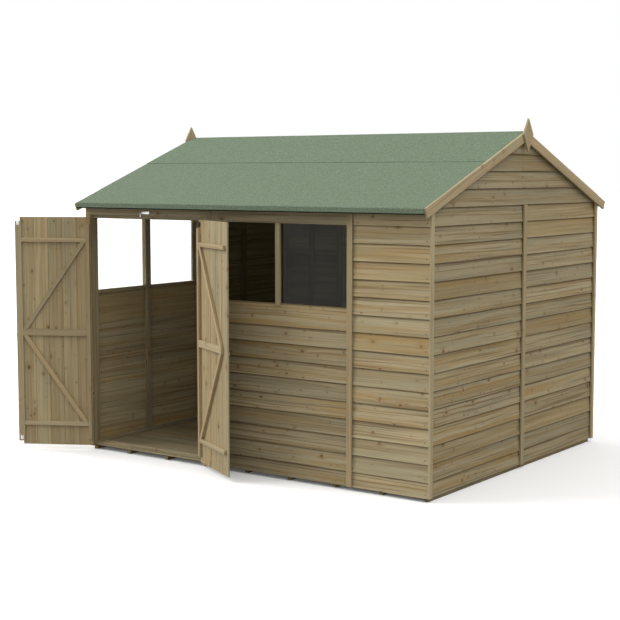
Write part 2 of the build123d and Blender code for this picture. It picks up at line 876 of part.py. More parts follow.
def header_catch():
    """Plate with a pointed end and a hook standing out from it."""
    y1 = -clad_half_depth - seat_gap
    y0 = y1 - strap_thickness
    middle = doorway_middle_x + catch_offset
    x0 = middle - catch_length / 2
    x1 = middle + catch_length / 2
    low = header_board_bottom + catch_rise
    high = low + catch_height
    plate = prism([(x1, y0, low), (x1, y0, high), (x0 + catch_point, y0, high),
                   (x0, y0, (low + high) / 2), (x0 + catch_point, y0, low)],
                  (0, 1, 0), strap_thickness)
    x = x0 + hook_inset
    arm_z = (low + high) / 2
    reach = hook_stand + strap_thickness
    arm = Location((x, y1 - reach / 2, arm_z)) * (
        Rotation(90, 0, 0) * Cylinder(hook_arm_radius, reach))
    length = arm_z + hook_radius - low + hook_drop
    bar_z = low - hook_drop + length / 2
    bar = Location((x, y1 - reach, bar_z)) * Cylinder(hook_radius, length)
    return [plate + arm + bar]


# Output
def write(name, solids):
    shape = solids[0] if len(solids) == 1 else Compound(children=solids)
    shape.label = name
    export_step(shape, "parts/" + name + ".step")


def write_shed():
    write("floor_joists", floor_joists())
    write("floor_boards", floor_boards())
    write("front_wall_frame", front_wall_frame())
    write("back_wall_frame", back_wall_frame())
    write("left_gable_frame", gable_frame(-1, True, 0.0))
    write("right_gable_frame", gable_frame(1, False, right_joint_shift))
    write("left_gable_rafters", gable_rafters(-1))
    write("right_gable_rafters", gable_rafters(1))
    write("doorway_cladding", doorway_cladding())
    write("front_window_cladding", front_window_cladding())
    write("front_plain_cladding", front_plain_cladding())
    write("back_wall_cladding", back_wall_cladding())
    write("right_gable_cladding", right_gable_cladding())
    write("left_gable_cladding", left_gable_cladding())
    write("left_gable_triangle", gable_triangle(-1))
    write("right_gable_triangle", gable_triangle(1))
    write("roof_boards", roof_boards())
    write("roof_felt", roof_felt())
    write("eaves_fascias", eaves_fascias())
    write("roof_purlins", roof_purlins())
    write("left_bargeboards", bargeboards(-1))
    write("right_bargeboards", bargeboards(1))
    write("left_finial", finial(-1))
    write("right_finial", finial(1))
    write("corner_trims", corner_trims())
    write("cover_strips", cover_strips())
    write("front_window_glass", front_window_glass())
    write("left_window_glass", left_window_glass())
    write("window_mullions", window_mullions())
    write("hinge_plates", hinge_plates())
    write("header_catch", header_catch())


def write_leaf(leaves, pivot_x, degrees):
    for name, solids in leaves.items():
        write(name, [swing(solid, pivot_x, degrees) for solid in solids])


def main():
    write_shed()
    stile_start = meeting_inner_x - door_joint
    write_leaf({
        "left_door_boards": door_boards(left_edge_x, left_free_x),
        "left_door_frame": door_frame(left_edge_x, stile_start, stile_start)
        + [meeting_stile()],
        "left_door_hinges": door_hinges(left_pivot_x, 1),
        "left_door_bolts": left_door_bolts(),
        "left_door_loop": left_door_loop(),
    }, left_pivot_x, -left_open_deg)
    write_leaf({
        "right_door_boards": door_boards(right_free_x, right_edge_x),
        "right_door_frame": door_frame(
            right_edge_x, right_free_x + right_ledge_stop,
            right_free_x + right_middle_ledge_stop),
        "right_door_hinges": door_hinges(right_pivot_x, -1),
        "right_door_ring": right_door_ring(),
        "right_door_buffer": right_door_buffer(),
    }, right_pivot_x, right_open_deg)


main()
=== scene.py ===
import bmesh
import bpy
import json
import math
import random
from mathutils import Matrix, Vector, noise

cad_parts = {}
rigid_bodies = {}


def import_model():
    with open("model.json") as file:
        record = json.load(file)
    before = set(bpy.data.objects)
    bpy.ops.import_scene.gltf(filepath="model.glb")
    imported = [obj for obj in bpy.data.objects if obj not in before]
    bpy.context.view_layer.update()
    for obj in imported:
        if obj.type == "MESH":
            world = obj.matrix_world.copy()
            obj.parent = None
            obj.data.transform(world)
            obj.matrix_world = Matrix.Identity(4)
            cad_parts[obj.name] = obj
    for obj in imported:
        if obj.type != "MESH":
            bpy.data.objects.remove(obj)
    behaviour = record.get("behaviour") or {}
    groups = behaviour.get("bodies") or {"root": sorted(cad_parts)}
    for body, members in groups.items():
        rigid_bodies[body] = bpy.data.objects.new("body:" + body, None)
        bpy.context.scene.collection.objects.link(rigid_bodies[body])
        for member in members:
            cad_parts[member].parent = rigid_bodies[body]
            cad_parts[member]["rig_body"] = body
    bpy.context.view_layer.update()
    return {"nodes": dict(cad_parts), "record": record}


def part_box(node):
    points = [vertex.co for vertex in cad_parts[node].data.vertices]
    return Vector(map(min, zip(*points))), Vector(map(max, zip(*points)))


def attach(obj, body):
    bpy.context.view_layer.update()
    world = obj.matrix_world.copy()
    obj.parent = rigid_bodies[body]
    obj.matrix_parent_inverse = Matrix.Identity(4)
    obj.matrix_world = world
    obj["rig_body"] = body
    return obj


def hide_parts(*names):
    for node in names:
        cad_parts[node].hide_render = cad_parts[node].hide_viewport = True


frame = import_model()
nodes = frame["nodes"]
slot_of = {part["node"]: part["material_slot"]
           for part in frame["record"]["subparts"]}

# Overlap-clad garden shed. Metres and degrees, in the frame of the CAD model.

# Weatherboards
BOARD_PITCH = 0.1166
BOARD_LAP = 0.012              # how far a board runs up behind the next one
BOARD_EDGE = 0.0085            # thickness at the lower edge
BOARD_TIP = 0.0038             # thickness at the hidden upper edge
BOARD_LEAN = 0.0108            # how far the face falls back over one pitch
EDGE_BEVEL = 0.0015            # bevel of the lower outer edge
LAP_SHADE = 0.014              # height of the painted shade strip under the board above
CLAD_ZONE = 0.014              # depth of the cladding on a wall
FACE_MARGIN = 0.0004           # keeps a straying face inside that depth
MID_FACE = 0.4                 # share of the height at which the face bends
LEAST_STRIP = 0.02             # height of the narrowest strip at a wall's foot
TOP_SLIVER = 0.045             # a narrower strip joins the board below it
EDGE_WANDER = 0.0022           # how far a sawn lower edge strays
WANDER_WAVES = 2.3             # per metre
FACE_WANDER = 0.0007
FACE_WAVES = 1.1               # per metre
STATION = 0.06                 # spacing of the points along a board
UPRIGHT_WIDTH = 0.15           # a narrower panel is one upright board
LEAST_REACH = 0.001            # half width left of a board at a gable's apex
APEX_RISE = 0.001              # from a gable panel's top to where its slopes meet
ROOF_SLOPE = 0.3755            # rise per metre
board_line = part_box("right_gable_triangle")[0].z  # edges are counted from here

# Bars and plain boards
ARRIS = 0.0012                 # softened corner of a sawn bar
METAL_ARRIS = 0.0004
ARRIS_ANGLE = 20               # a sharper bend in a surface is an arris
V_JOINT = 0.0028               # chamfer along a plain board's arrises
BOARD_GAP = 0.0004             # between plain boards
DOOR_BOARD = 0.108             # width of a board, as are the next two
FLOOR_BOARD = 0.112
ROOF_BOARD = 0.1
VERGE_TUCK = 0.008             # how far a bargeboard's top sinks under the felt
VERGE_DEPTH = 0.002            # what lies this near the roof's line sinks
WELD = 1e-5                    # nearer vertices are one
FLAT_ANGLE = 1                 # a smaller bend in a CAD face is none

# Nails
NAIL_RADIUS = 0.0045
NAIL_PROUD = 0.0006            # a head's height over its centre
NAIL_ROOT = 0.001              # its depth below
NAIL_SINK = 0.0006             # its centre behind the cladding's outer line
NAIL_SIDES = 8
NAIL_HEIGHT = 0.024            # above a board's lower edge
NAIL_SHARE = 0.4               # highest place, as a share of the board's height
NAIL_INSET = 0.022             # from a panel's end
NAIL_STRAY = 0.004             # from its column and its height
NAIL_MARGIN = 0.03             # from a gable's slope
WIDE_PANEL = 0.8               # a wider panel has a middle column of nails

# Felt
FELT_WAVE = 0.0012             # depth of the dips in a sheet
FELT_STEP = 0.03               # spacing of the points in a sheet
FELT_SMOOTH_ANGLE = 40         # a sheet shades smoothly up to this bend
FELT_FOLD = 0.006              # softened arris of a wrapped board
FELT_SHADE_BAND = 0.0085              # height of the painted black shade band at a fascia's foot
FELT_SHADE_FADE = 0.001

# Patterns of the wood, by their number a metre along and across its grain
KNOT_CELLS = (5.6, 8.0)
PIN_CELLS = (19.0, 25.0)
KNOT_BEND = (1.3, 5.0)
BROAD_STREAKS = (0.45, 24.0)
NARROW_STREAKS = (0.9, 80.0)
GREY_PATCHES = (0.9, 15.0)
GROWTH_RINGS = (0.7, 30.0)
FINE_GRAIN = (12.0, 520.0)
SEED_SHIFT = (31.7, 17.3, 9.1)  # moves the patterns from board to board
OWN_HUE = 7.31                 # turns a board's number into its hue
DARKEST_BOARD = 0.87
BOARD_RANGE = 0.2              # from the darkest board to the palest

# Colours, as they are seen
KNOT_CORE = "5A4027"
KNOT_HALO = "8C6A42"
PIN_HALO = "8A5F45"
# painted shade under the board above and at a board's lower arris
PAINTED_LAP_SHADE = "5A4830"
# painted black shade along a fascia's foot
FELT_SHADE_BLACK = "1C1E19"
GLASS_TINT = (0.24, 0.25, 0.24, 1)  # linear, of what a pane mirrors
GLASS_IOR = 1.45

# Tone of a node's timber against its material's, judged from the photograph
# For the doorway cladding this tone is painted shade of the eaves; for the front
# panels and the right gable it is partly timber tone and partly painted light and
# shade.
TONES_AND_SHADE = {"front_plain_cladding": 0.1, "doorway_cladding": -0.05,
         "right_bargeboards": 0.08, "left_bargeboards": 0.08,
         "left_door_boards": -0.09, "right_door_boards": -0.11,
         "left_door_frame": -0.04, "right_door_frame": -0.04,
         "right_gable_cladding": -0.07, "right_gable_triangle": -0.05,
         "front_window_cladding": -0.07}

# Camera, at the photograph's angle
CAMERA_PLACE = (5.8306, -8.5960, 2.0926)
CAMERA_PITCH = -5.727
CAMERA_YAW = 35.626
CAMERA_REACH = 500
FOCAL_PIXELS = 1357.357
FRAME_PIXELS = 620
SENSOR_WIDTH = 36.0

# Light, on a level that shows a colour about as it is written
SKY = 0.45
SKY_RISE = 0.5                 # how much brighter the sky is overhead
FLOOR_HALF = 120.0
FLOOR_AS_LIGHT = 0.3           # what the floor throws back on the shed
FLOOR_AS_SEEN = 0.98
FLOOR_GLOW = 0.06              # lifts the seen floor to white
# Each lamp's name, azimuth, elevation, strength and angle across
SUNS = (("key_lamp", -68, 30, 2.6, 50),
        ("fill_lamp", 80, 52, 0.95, 50),
        ("door_lamp", 38, 20, 0.2, 40))
ROOM_LAMP_PLACE = (0.1, 0.6, 1.7)
ROOM_LAMP_POWER = 6.5
ROOM_LAMP_RADIUS = 0.3


# Node trees
def seen(code):
    """Linear colour of a hexadecimal sRGB code."""
    values = [int(code[i:i + 2], 16) / 255 for i in (0, 2, 4)]
    return tuple(v / 12.92 if v <= 0.04045 else ((v + 0.055) / 1.055) ** 2.4
                 for v in values) + (1.0,)


class Nodes:
    """A node tree, with short calls for the nodes it uses."""

    def __init__(self, tree):
        self.tree = tree

    def node(self, kind, **settings):
        made = self.tree.nodes.new(kind)
        for key, value in settings.items():
            setattr(made, key, value)
        return made

    def link(self, source, target):
        self.tree.links.new(source, target)

    def put(self, target, value):
        if isinstance(value, bpy.types.NodeSocket):
            self.link(value, target)
        else:
            target.default_value = value

    def attribute(self, name, output):
        return self.node("ShaderNodeAttribute",
                         attribute_name=name).outputs[output]

    def vector_math(self, operation, first, second):
        made = self.node("ShaderNodeVectorMath", operation=operation)
        self.put(made.inputs[0], first)
        self.put(made.inputs[1], second)
        return made.outputs[0]

    def math(self, operation, first, second):
        made = self.node("ShaderNodeMath", operation=operation)
        self.put(made.inputs[0], first)
        self.put(made.inputs[1], second)
        return made.outputs[0]

    def noise(self, vector, scale, detail=3.0, roughness=0.5):
        made = self.node("ShaderNodeTexNoise")
        self.put(made.inputs["Vector"], vector)
        made.inputs["Scale"].default_value = scale
        made.inputs["Detail"].default_value = detail
        made.inputs["Roughness"].default_value = roughness
        return made.outputs["Fac"]

    def remap(self, value, low, high, new_low=0.0, new_high=1.0):
        """A smooth ramp between two levels of the value."""
        made = self.node("ShaderNodeMapRange", interpolation_type="SMOOTHSTEP")
        self.put(made.inputs["Value"], value)
        made.inputs["From Min"].default_value = low
        made.inputs["From Max"].default_value = high
        made.inputs["To Min"].default_value = new_low
        made.inputs["To Max"].default_value = new_high
        return made.outputs["Result"]

    def mix(self, share, first, second):
        """A colour between two others."""
        made = self.node("ShaderNodeMix", data_type="RGBA")
        self.put(made.inputs[0], share)
        self.put(made.inputs[6], first)
        self.put(made.inputs[7], second)
        return made.outputs[2]


class Shader(Nodes):
    """A material's nodes, which end in one Principled BSDF."""

    def __init__(self, name, roughness, specular):
        self.material = bpy.data.materials.new(name)
        self.material.use_nodes = True
        super().__init__(self.material.node_tree)
        self.principled = self.tree.nodes["Principled BSDF"]
        self.principled.inputs["Roughness"].default_value = roughness
        self.principled.inputs["Specular IOR Level"].default_value = specular

    def bump(self, height, strength, distance):
        made = self.node("ShaderNodeBump")
        made.inputs["Strength"].default_value = strength
        made.inputs["Distance"].default_value = distance
        self.put(made.inputs["Height"], height)
        self.link(made.outputs["Normal"], self.principled.inputs["Normal"])

    def colour(self, value):
        self.put(self.principled.inputs["Base Color"], value)


# Wood
def stretched(shader, place, waves):
    """The place, scaled along and across the grain."""
    along, across = waves
    return shader.vector_math("MULTIPLY", place, (along, across, across))


def knots(shader, place, cells, share, radius):
    """Knots, one to a cell at most: their cores and the halos round them."""
    found = shader.node("ShaderNodeTexVoronoi", feature="F1",
                        voronoi_dimensions="2D")
    shader.link(stretched(shader, place, cells), found.inputs["Vector"])
    found.inputs["Scale"].default_value = 1.0
    pick = shader.node("ShaderNodeSeparateColor")
    shader.link(found.outputs["Color"], pick.inputs[0])
    chosen = shader.remap(pick.outputs[0], 1.0 - share, 1.01 - share)
    size = shader.math("MULTIPLY",
                       shader.math("ADD", pick.outputs[1], 0.35), radius)
    ring = shader.math("DIVIDE", found.outputs["Distance"], size)
    depth = shader.math("MULTIPLY", chosen,
                        shader.remap(pick.outputs[2], 0.0, 1.0, 0.5, 1.0))
    core = shader.math("MULTIPLY",
                       shader.remap(ring, 0.35, 1.2, 1.0, 0.0), depth)
    halo = shader.math("MULTIPLY",
                       shader.remap(ring, 0.8, 3.6, 1.0, 0.0), depth)
    return core, halo


def grain_place(shader, seed):
    """Where a point lies in its own board, moved on by the board's number."""
    shift = shader.node("ShaderNodeCombineXYZ")
    for socket, step in zip(shift.inputs, SEED_SHIFT):
        shader.link(shader.math("MULTIPLY", seed, step), socket)
    return shader.vector_math("ADD", shader.attribute("grain", "Vector"),
                              shift.outputs[0])


def growth_rings(shader, place):
    rings = shader.node("ShaderNodeTexWave", wave_type="BANDS",
                        bands_direction="Y", wave_profile="SAW")
    shader.link(place, rings.inputs["Vector"])
    rings.inputs["Scale"].default_value = 1.0
    rings.inputs["Distortion"].default_value = 5.0
    rings.inputs["Detail"].default_value = 2.0
    rings.inputs["Detail Scale"].default_value = 0.6
    return rings.outputs["Fac"]


def wood(name, codes, knotty=1.0, streaky=1.0, roughness=0.8):
    """Softwood; codes are its ground, warm and grey streaks and dark lines."""
    shader = Shader(name, roughness, 0.2)
    pale, warm, grey, dark = [seen(code) for code in codes]
    seed = shader.attribute("seed", "Fac")
    place = grain_place(shader, seed)
    core, halo = knots(shader, place, KNOT_CELLS, 0.3, 0.085)
    pin, pin_halo = knots(shader, place, PIN_CELLS, 0.08, 0.15)
    core = shader.math("MAXIMUM", core, shader.math("MULTIPLY", pin, 0.8))

    # Each knot pushes the grain lines round itself
    bend = shader.noise(stretched(shader, place, KNOT_BEND), 1.0, 2.0)
    lift = shader.node("ShaderNodeCombineXYZ")
    shader.link(shader.math("ADD", shader.math("MULTIPLY", bend, 1.8),
                            shader.math("MULTIPLY", halo, 0.5)),
                lift.inputs[1])

    def bent(waves):
        return shader.vector_math("ADD", stretched(shader, place, waves),
                                  lift.outputs[0])

    broad = shader.noise(bent(BROAD_STREAKS), 1.0, 2.0, 0.5)
    narrow = shader.noise(bent(NARROW_STREAKS), 1.0, 3.0, 0.6)
    rings = growth_rings(shader, bent(GROWTH_RINGS))
    fine = shader.noise(stretched(shader, place, FINE_GRAIN), 1.0, 3.0, 0.6)
    patch = shader.noise(stretched(shader, place, GREY_PATCHES), 1.0, 3.0, 0.55)
    own = shader.math("FRACT", shader.math("MULTIPLY", seed, OWN_HUE), 0.0)

    # Over the ground: streaks, grain lines, knots and the board's own hue
    base = pale
    for share, colour in (
            (shader.remap(broad, 0.4, 0.72, 0.0, streaky), warm),
            (shader.remap(patch, 0.44, 0.66, 0.0, 0.85), grey),
            (shader.remap(narrow, 0.46, 0.7, 0.0, 0.75 * streaky), dark),
            (shader.math("MULTIPLY", rings,
                         shader.remap(broad, 0.35, 0.65, 0.03, 0.2)), dark),
            (shader.remap(fine, 0.5, 0.75, 0.0, 0.34), dark),
            (shader.math("MULTIPLY", halo, 0.38 * knotty), seen(KNOT_HALO)),
            (shader.math("MULTIPLY", pin_halo, 0.3 * knotty), seen(PIN_HALO)),
            (shader.math("MULTIPLY", core, 0.85 * knotty), seen(KNOT_CORE)),
            (shader.remap(own, 0.6, 1.0, 0.0, 0.45), warm),
            (shader.remap(own, 0.0, 0.4, 0.3, 0.0), grey)):
        base = shader.mix(share, base, colour)

    # Each board's own tone, its node's tone (in places painted light and shade),
    # and painted shade under the board above and at the lower arris
    tone = shader.math("ADD", shader.math("MULTIPLY", seed, BOARD_RANGE),
                       DARKEST_BOARD)
    level = shader.node("ShaderNodeHueSaturation")
    shader.link(shader.math("ADD", tone, shader.attribute("tone", "Fac")),
                level.inputs["Value"])
    shader.link(base, level.inputs["Color"])
    lap = shader.math("MULTIPLY", shader.attribute("lap", "Fac"), 0.75)
    shader.colour(shader.mix(lap, level.outputs[0], seen(PAINTED_LAP_SHADE)))
    height = shader.math("ADD", shader.math("MULTIPLY", fine, 0.5),
                         shader.math("MULTIPLY", narrow, 0.8))
    shader.bump(shader.math("SUBTRACT", height,
                            shader.math("MULTIPLY", core, 0.3)), 0.5, 0.0012)
    return shader.material


# Felt, metal and glass
def felt(name):
    """Bitumen felt faced with green mineral chips, with a band of painted black
    shade along a wrapped board's lower edge.
    """
    shader = Shader(name, 0.95, 0.15)
    place = shader.attribute("grain", "Vector")
    chips = shader.node("ShaderNodeTexVoronoi", feature="F1")
    shader.link(place, chips.inputs["Vector"])
    chips.inputs["Scale"].default_value = 330.0
    pick = shader.node("ShaderNodeSeparateColor")
    shader.link(chips.outputs["Color"], pick.inputs[0])
    cloud = shader.noise(place, 24.0, 4.0, 0.6)
    mottle = shader.noise(place, 95.0, 3.0, 0.75)
    base = seen("61705B")
    # Chips, mottle and clouds, then painted black shade along a wrapped board's
    # lower edge
    for share, colour in (
            (shader.remap(pick.outputs[0], 0.1, 0.9), seen("7A8671")),
            (shader.remap(mottle, 0.38, 0.62, 0.0, 0.75), seen("546451")),
            (shader.remap(cloud, 0.4, 0.7, 0.0, 0.12), seen("788672")),
            (shader.attribute("lap", "Fac"), seen(FELT_SHADE_BLACK))):
        base = shader.mix(share, base, colour)
    shader.colour(base)
    shader.bump(shader.math("ADD", chips.outputs["Distance"],
                            shader.math("MULTIPLY", mottle, 0.8)), 0.6, 0.0015)
    return shader.material


def coated_metal(name, main, worn, roughness, metallic):
    shader = Shader(name, roughness, 0.5)
    shader.principled.inputs["Metallic"].default_value = metallic
    place = shader.attribute("grain", "Vector")
    blotch = shader.noise(place, 60.0, 4.0, 0.6)
    shader.colour(shader.mix(shader.remap(blotch, 0.45, 0.75, 0.0, 0.6),
                             seen(main), seen(worn)))
    shader.bump(shader.noise(place, 900.0, 2.0), 0.25, 0.0004)
    return shader.material


def glass(name, clear, smeared):
    shader = Shader(name, 0.01, 0.5)
    shader.principled.inputs["IOR"].default_value = GLASS_IOR
    shader.principled.inputs["Transmission Weight"].default_value = 1.0
    shader.principled.inputs["Specular Tint"].default_value = GLASS_TINT
    place = shader.node("ShaderNodeNewGeometry").outputs["Position"]
    smear = shader.noise(place, 3.0, 2.0)
    shader.colour(shader.mix(shader.remap(smear, 0.4, 0.7),
                             seen(clear), seen(smeared)))
    return shader.material


materials = {
    "cladding": wood("sawn_cladding",
                     ("AC9E7D", "A08759", "999073", "6E5839")),
    "door_boards": wood("planed_door_boards",
                        ("B6A680", "A68A5E", "A39B7D", "78613F"),
                        streaky=0.7, roughness=0.7),
    "trim": wood("sawn_trim", ("B0A07F", "AA9065", "A19677", "7A6343"),
                 knotty=0.6, streaky=0.7),
    "softwood": wood("framing_softwood",
                     ("9C8F70", "917C57", "88826A", "645338"), knotty=0.6),
    "felt": felt("green_mineral_felt"),
    "felt_edge": felt("felt_wrapped_edge"),
    "glazing": glass("window_glass", "F8FAF9", "F1F4F2"),
    "black_iron": coated_metal("black_rubber", "141414", "1E1D1C", 0.8, 0.0),
    "galvanised": coated_metal("zinc_plated_steel", "DADBD8", "B4B6B4",
                               0.42, 0.85),
}
nail_metal = coated_metal("weathered_nails", "4E453A", "6A5A48", 0.6, 0.4)
dull_zinc = coated_metal("weathered_zinc", "847E70", "6B6558", 0.75, 0.3)
dusty_glass = glass("dusty_window_glass", "969994", "8E918C")


# Meshes
def linked(start):
    """Every vertex joined by edges to this one."""
    found, waiting = {start}, [start]
    while waiting:
        for edge in waiting.pop().link_edges:
            for vertex in edge.verts:
                if vertex not in found:
                    found.add(vertex)
                    waiting.append(vertex)
    return found


def solids(bm):
    """The separate solids in a mesh, as sets of vertices."""
    left, groups = set(bm.verts), []
    for vertex in bm.verts:
        if vertex in left:
            group = linked(vertex)
            left -= group
            groups.append(group)
    return groups


def cad_mesh(node):
    """The node's mesh with its flat faces whole again."""
    bm = bmesh.new()
    bm.from_mesh(nodes[node].data)
    bmesh.ops.remove_doubles(bm, verts=bm.verts, dist=WELD)
    bmesh.ops.dissolve_limit(bm, angle_limit=math.radians(FLAT_ANGLE),
                             verts=bm.verts, edges=bm.edges)
    return bm


def axes_of(group, along=None):
    """Length, width and thickness directions of one solid.

    Of equal faces or edges the direction decides, and so no run differs.
    """
    faces = {face for vertex in group for face in vertex.link_faces}
    widest = max(faces, key=lambda face: (face.calc_area(), *face.normal))
    depth = widest.normal.normalized()
    if along is None:
        edges = {edge for vertex in group for edge in vertex.link_edges}
        along = max((edge.verts[1].co - edge.verts[0].co for edge in edges),
                    key=lambda span: (span.length, *span))
    along = Vector(along)
    along = (along - along.dot(depth) * depth).normalized()
    return along, depth.cross(along), depth


def spans_of(group, axes):
    """The lowest and highest place of a solid along each axis."""
    spans = [[vertex.co.dot(axis) for vertex in group] for axis in axes]
    return [min(span) for span in spans], [max(span) for span in spans]


def mark_grain(bm, node, along=None):
    """Stores each solid's own grain directions and number, and its node's tone,
    which for some nodes is painted light and shade.
    """
    rng = random.Random(node)
    grain = bm.verts.layers.float_vector.new("grain")
    seed = bm.verts.layers.float.new("seed")
    tone = bm.verts.layers.float.new("tone")
    bm.normal_update()
    for group in solids(bm):
        axes = axes_of(group, along)
        number = rng.random()
        for vertex in group:
            vertex[grain] = [vertex.co.dot(axis) for axis in axes]
            vertex[seed] = number
            vertex[tone] = TONES_AND_SHADE.get(node, 0.0)


def turn_outward(bm):
    """Turns every face of each closed solid to the outside."""
    bmesh.ops.recalc_face_normals(bm, faces=bm.faces)
    for group in solids(bm):
        middle = sum((v.co for v in group), Vector()) / len(group)
        faces = {face for vertex in group for face in vertex.link_faces}
        volume = sum(
            f.calc_area() * f.normal.dot(f.calc_center_median() - middle)
            for f in faces)
        if volume < 0:
            bmesh.ops.reverse_faces(bm, faces=list(faces))


def place(name, bm, node, slot=None, material=None):
    """Makes the object and lets it ride on the body of the node."""
    mesh = bpy.data.meshes.new(name)
    turn_outward(bm)
    bm.to_mesh(mesh)
    bm.free()
    made = bpy.data.objects.new(name, mesh)
    bpy.context.scene.collection.objects.link(made)
    slot = slot or slot_of[node]
    mesh.materials.append(material or materials[slot])
    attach(made, nodes[node]["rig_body"])
    return made


def soften(bm, width):
    """Cuts a narrow flat along every sharp edge."""
    edges = [edge for edge in bm.edges if edge.is_manifold
             and edge.calc_face_angle(0) > math.radians(ARRIS_ANGLE)]
    bmesh.ops.bevel(bm, geom=edges, offset=width, segments=1,
                    affect="EDGES", clamp_overlap=True)


def join_rings(bm, rings):
    """Faces between rings of vertices, which are closed at both ends."""
    size = len(rings[0])
    for first, second in zip(rings, rings[1:]):
        for i in range(size):
            j = (i + 1) % size
            bm.faces.new((first[i], first[j], second[j], second[i]))
    bm.faces.new(list(reversed(rings[0])))
    bm.faces.new(rings[-1])


# Bars and plain boards
def tuck_under_felt(bm):
    """Lowers the boards' top edges below the felt that covers them."""
    ridge = max(v.co.z for v in bm.verts)
    for vertex in bm.verts:
        if vertex.co.z > ridge - ROOF_SLOPE * abs(vertex.co.y) - VERGE_DEPTH:
            vertex.co.z -= VERGE_TUCK


def timber(node, along=None):
    """The node's bars with softened corners and their own grain."""
    bm = cad_mesh(node)
    if node == "left_bargeboards":
        tuck_under_felt(bm)
    soften(bm, ARRIS)
    mark_grain(bm, node, along)
    made = place(node + "_timber", bm, node)
    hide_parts(node)


def plank(bm, axes, low, high, chamfer):
    """A board along the first axis, its long arrises chamfered."""
    (x0, y0, z0), (x1, y1, z1) = low, high
    section = [(y0 + chamfer, z0), (y1 - chamfer, z0),
               (y1, z0 + chamfer), (y1, z1 - chamfer),
               (y1 - chamfer, z1), (y0 + chamfer, z1),
               (y0, z1 - chamfer), (y0, z0 + chamfer)]
    join_rings(bm, [
        [bm.verts.new(axes[0] * x + axes[1] * y + axes[2] * z)
         for y, z in section] for x in (x0, x1)])


def planked(node, along, width):
    """The node's slabs cut into boards that run in one direction."""
    source = cad_mesh(node)
    bm = bmesh.new()
    for group in solids(source):
        axes = axes_of(group, along)
        low, high = spans_of(group, axes)
        count = max(1, round((high[1] - low[1]) / width))
        step = (high[1] - low[1]) / count
        for index in range(count):
            edge = low[1] + index * step + BOARD_GAP / 2
            plank(bm, axes, (low[0], edge, low[2]),
                  (high[0], edge + step - BOARD_GAP, high[2]), V_JOINT)
    source.free()
    mark_grain(bm, node, along)
    made = place(node + "_boards", bm, node)
    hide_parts(node)


# Nails, through the boards into the frame behind
def nail(bm, centre, normal):
    """A flat round head standing slightly out of the board."""
    side = normal.orthogonal().normalized()
    other = normal.cross(side)
    angles = [2 * math.pi * index / NAIL_SIDES for index in range(NAIL_SIDES)]
    join_rings(bm, [
        [bm.verts.new(centre + normal * lift + (
            side * math.cos(angle) + other * math.sin(angle)) * radius)
         for angle in angles]
        for lift, radius in ((-NAIL_ROOT, NAIL_RADIUS),
                             (NAIL_PROUD * 0.6, NAIL_RADIUS),
                             (NAIL_PROUD, NAIL_RADIUS * 0.7))])


def nailed(name, node, heads):
    """One piece of nail heads; heads is a list of (centre, normal)."""
    bm = bmesh.new()
    grain = bm.verts.layers.float_vector.new("grain")
    for centre, normal in heads:
        nail(bm, centre, normal)
    for vertex in bm.verts:
        vertex[grain] = vertex.co
    place(name, bm, node, slot="galvanised", material=nail_metal)


# Weatherboards
def board_levels(low, high):
    """Lower edges of the boards between two heights."""
    top = board_line
    while top < high:
        top += BOARD_PITCH
    levels = []
    while top > low + LEAST_STRIP:
        if top < high - TOP_SLIVER:
            levels.append(top)
        top -= BOARD_PITCH
    return [low] + sorted(levels)


def board_section(low, high, top):
    """Points round a board's section, and the board's whole height.

    A point is its distance out, its share of the height and its painted shade,
    which is dark at the lower arris and on the strip under the board above.
    """
    lap_top = min(high + BOARD_LAP, top)
    rise = lap_top - low
    outer = CLAD_ZONE - FACE_MARGIN
    lean = BOARD_LEAN * min(1.0, (high - low) / BOARD_PITCH)
    tip = outer - lean * rise / (high - low)
    shaded = (high - low) / rise
    clean = shaded - LAP_SHADE / rise

    def face(up):
        return outer + (tip - outer) * up

    section = [(outer - BOARD_EDGE, 0.0, 0.0), (outer - EDGE_BEVEL, 0.0, 1.0),
               (outer, EDGE_BEVEL / rise, 0.0),
               (face(MID_FACE), MID_FACE, 0.0), (face(clean), clean, 0.0)]
    if lap_top > high:         # the top board has no part behind another
        section.append((face(shaded), shaded, 1.0))
    section += [(tip, 1.0, 1.0), (max(0.0, tip - BOARD_TIP), 1.0, 0.0)]
    return section, rise


def weatherboard(bm, rng, wall_point, start, end, levels, reach):
    """One tapering board; reach(z) limits its half length under a roof.

    The levels are its lower edge, the next board's and the wall's top.
    """
    grain = bm.verts.layers.float_vector["grain"]
    seed = bm.verts.layers.float["seed"]
    lap = bm.verts.layers.float["lap"]
    low = levels[0]
    section, rise = board_section(*levels)
    width = min(end - start, 2 * reach(low)) if reach else end - start
    count = max(2, round(width / STATION))
    number, phase = rng.random(), rng.uniform(0, 50)
    rings = []
    for index in range(count + 1):
        ring = []
        for out, up, dark in section:
            z = low + up * rise
            first, last = start, end
            if reach:
                first, last = max(first, -reach(z)), min(last, reach(z))
            along = first + (last - first) * index / count
            wander = noise.noise((along * WANDER_WAVES + phase, number * 9, 0))
            bow = noise.noise((along * FACE_WAVES, phase, up * 0.5))
            z += EDGE_WANDER * wander * (1 - up)
            depth = max(0.0, min(CLAD_ZONE, out + FACE_WANDER * bow))
            vertex = bm.verts.new(wall_point(along, depth, z))
            vertex[grain] = (along, z, out)
            vertex[seed] = number
            # painted shade at this point of the section
            vertex[lap] = dark
            ring.append(vertex)
        rings.append(ring)
    join_rings(bm, rings)


def upright_board(bm, rng, run, normal, low, high):
    """A plain board from the foot of a wall to its top."""
    grain = bm.verts.layers.float_vector["grain"]
    seed = bm.verts.layers.float["seed"]
    before = set(bm.verts)
    plank(bm, (Vector((0, 0, 1)), run, normal), low, high, ARRIS)
    number = rng.random()
    for vertex in set(bm.verts) - before:
        spot = vertex.co
        vertex[grain] = (spot.z, spot.dot(run), spot.dot(normal))
        vertex[seed] = number


